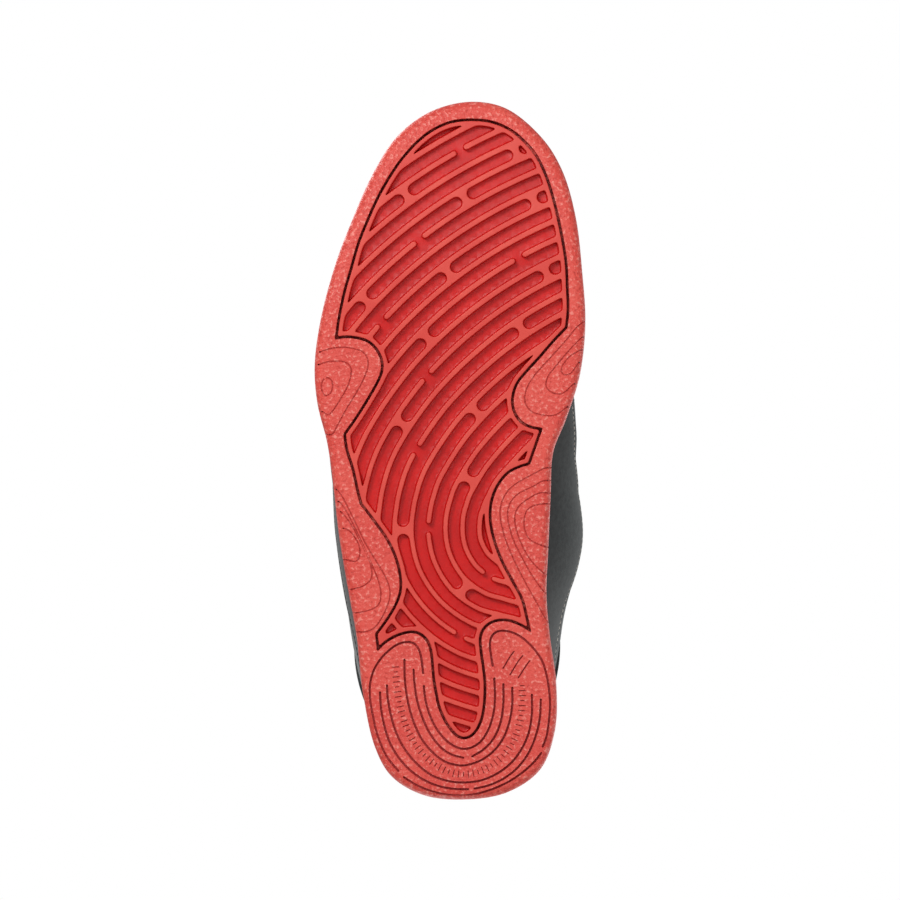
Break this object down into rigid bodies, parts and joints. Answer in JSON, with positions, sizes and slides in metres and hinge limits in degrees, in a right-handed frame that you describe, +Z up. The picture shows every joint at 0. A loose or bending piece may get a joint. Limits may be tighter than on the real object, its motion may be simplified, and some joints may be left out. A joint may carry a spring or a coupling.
{
  "type": "high-top basketball shoe",
  "caption": "Laced high-top court shoe for the right foot with a padded ankle collar, cupsole and separate wave-pattern tread plate.",
  "frame": {"origin": "on the ground under the middle of the sole's length and width", "axes": "+X towards the medial side, +Y towards the heel, +Z up"},
  "size_m": [0.116, 0.3, 0.178],
  "materials": {
    "outsole_rubber": "moulded, fine grain",
    "tread_rubber": "moulded, smooth",
    "midsole_foam": "foam",
    "shank_steel": "rolled",
    "board": "fibre board",
    "sock_textile": "brushed textile on foam",
    "nubuck": "napped",
    "overlay_leather": "napped",
    "webbing": "woven",
    "stiffener_sheet": "thermoformed sheet",
    "lining_textile": "knitted",
    "padding_foam": "open-cell foam",
    "lace_textile": "flat woven",
    "eyelet_metal": "enamelled"
  },
  "bodies": {
    "shoe": {"outsole": "outsole_rubber", "tread_plate": "tread_rubber", "midsole": "midsole_foam", "shank": "shank_steel", "strobel_board": "board", "vamp": "nubuck", "quarter_lateral": "nubuck", "quarter_medial": "nubuck", "toe_cap": "overlay_leather", "heel_overlay": "overlay_leather", "foxing_lateral": "overlay_leather", "foxing_medial": "overlay_leather", "eyestay_lateral": "overlay_leather", "eyestay_medial": "overlay_leather", "collar_panel_lateral": "overlay_leather", "collar_panel_medial": "overlay_leather", "heel_tab": "webbing", "toe_puff": "stiffener_sheet", "heel_counter": "stiffener_sheet", "vamp_lining": "lining_textile", "lining_lateral": "lining_textile", "lining_medial": "lining_textile", "collar_foam_lateral": "padding_foam", "collar_foam_medial": "padding_foam", "tongue_face": "nubuck", "tongue_foam": "padding_foam", "tongue_lining": "lining_textile", "lace": "lace_textile", "eyelet_lateral_1": "eyelet_metal", "eyelet_lateral_2": "eyelet_metal", "eyelet_lateral_3": "eyelet_metal", "eyelet_lateral_4": "eyelet_metal", "eyelet_lateral_5": "eyelet_metal", "eyelet_lateral_6": "eyelet_metal", "eyelet_lateral_7": "eyelet_metal", "eyelet_medial_1": "eyelet_metal", "eyelet_medial_2": "eyelet_metal", "eyelet_medial_3": "eyelet_metal", "eyelet_medial_4": "eyelet_metal", "eyelet_medial_5": "eyelet_metal", "eyelet_medial_6": "eyelet_metal", "eyelet_medial_7": "eyelet_metal"},
    "tongue_top": {"tongue_top_face": "nubuck", "tongue_top_foam": "padding_foam", "tongue_top_lining": "lining_textile"},
    "pull_loop": {"heel_pull_loop": "webbing"},
    "insole": {"sockliner": "sock_textile"}
  },
  "joints": [
    {"name": "tongue_fold", "type": "hinge", "parent": "shoe", "child": "tongue_top", "pos_m": [0.003, 0.058, 0.156], "axis": [1, 0, 0], "range_deg": [0, 40], "stiffness_Nm_per_rad": 0.02},
    {"name": "pull_loop_swing", "type": "hinge", "parent": "shoe", "child": "pull_loop", "pos_m": [0.003, 0.137, 0.1504], "axis": [1, 0, 0], "range_deg": [-40, 25], "stiffness_Nm_per_rad": 0.01},
    {"name": "sockliner_lift", "type": "hinge", "parent": "shoe", "child": "insole", "pos_m": [0.0092, -0.137, 0.0225], "axis": [1, 0, 0], "range_deg": [0, 3.5]}
  ]
}
